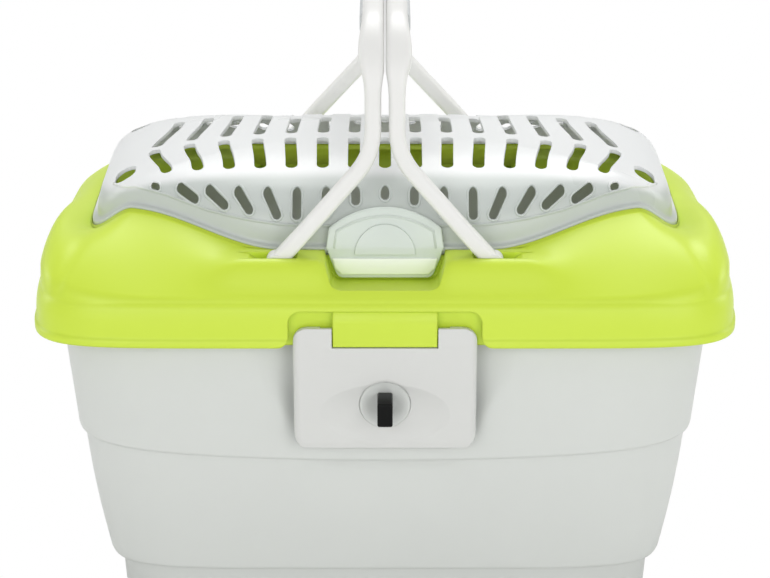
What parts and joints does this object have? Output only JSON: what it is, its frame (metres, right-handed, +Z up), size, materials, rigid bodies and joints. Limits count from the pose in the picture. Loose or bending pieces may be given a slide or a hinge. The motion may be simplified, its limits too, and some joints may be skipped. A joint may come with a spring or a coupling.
{
  "type": "bird travel carrier",
  "caption": "Small bird carrier: stepped tub, lift-off lid with two folding carry bails, slotted dome door with a front catch, side latches and a through perch.",
  "frame": {"origin": "centre of the tub's underside, on the ground", "axes": "+X along the carrier's long side, +Y to the rear, where the door is hinged, +Z up"},
  "size_m": [0.3042, 0.2482, 0.274],
  "materials": {
    "tub": "satin pale grey",
    "lid": "satin lime green",
    "door": "milky, slightly translucent",
    "catch": "satin pale grey",
    "handle": "satin light grey",
    "grip": "matte ribbed",
    "perch": "plain",
    "washer": "matte black",
    "knob": "matte black",
    "pin": "bare steel"
  },
  "bodies": {
    "tub_body": {"tub": "tub", "perch": "perch", "perch_washer_front": "washer", "perch_washer_rear": "washer", "latch_pin_front": "pin", "latch_pin_rear": "pin"},
    "lid_body": {"lid": "lid", "door_hinge_pin": "pin"},
    "door_body": {"door": "door"},
    "catch_body": {"door_catch": "catch"},
    "handle_left_body": {"handle_left": "handle", "grip_pad_left": "grip"},
    "handle_right_body": {"handle_right": "handle", "grip_pad_right": "grip"},
    "latch_front_body": {"latch_front": "handle"},
    "latch_rear_body": {"latch_rear": "handle"},
    "knob_front_body": {"perch_knob_front": "knob", "perch_screw_front": "pin"},
    "knob_rear_body": {"perch_knob_rear": "knob", "perch_screw_rear": "pin"}
  },
  "joints": [
    {"name": "lid_lift", "type": "slide", "parent": "tub_body", "child": "lid_body", "axis": [0, 0, 1], "range_m": [0, 0.06]},
    {"name": "door_hinge", "type": "hinge", "parent": "lid_body", "child": "door_body", "pos_m": [0, 0.0902, 0.1787], "axis": [-1, 0, 0], "range_deg": [0, 20]},
    {"name": "catch_flex", "type": "hinge", "parent": "door_body", "child": "catch_body", "pos_m": [0, -0.0845, 0.1905], "axis": [-1, 0, 0], "range_deg": [0, 8]},
    {"name": "handle_left_fold", "type": "hinge", "parent": "lid_body", "child": "handle_left_body", "pos_m": [-0.046, 0, 0.1715], "axis": [0, -1, 0], "range_deg": [0, 100]},
    {"name": "handle_right_fold", "type": "hinge", "parent": "lid_body", "child": "handle_right_body", "pos_m": [0.046, 0, 0.1715], "axis": [0, 1, 0], "range_deg": [0, 100]},
    {"name": "latch_front_swing", "type": "hinge", "parent": "tub_body", "child": "latch_front_body", "pos_m": [0, -0.10735, 0.095], "axis": [1, 0, 0], "range_deg": [0, 80]},
    {"name": "latch_rear_swing", "type": "hinge", "parent": "tub_body", "child": "latch_rear_body", "pos_m": [0, 0.10735, 0.095], "axis": [-1, 0, 0], "range_deg": [0, 80]},
    {"name": "knob_front_turn", "type": "hinge", "parent": "tub_body", "child": "knob_front_body", "pos_m": [0, -0.11, 0.113], "axis": [0, -1, 0], "continuous": true},
    {"name": "knob_rear_turn", "type": "hinge", "parent": "tub_body", "child": "knob_rear_body", "pos_m": [0, 0.11, 0.113], "axis": [0, 1, 0], "continuous": true}
  ]
}
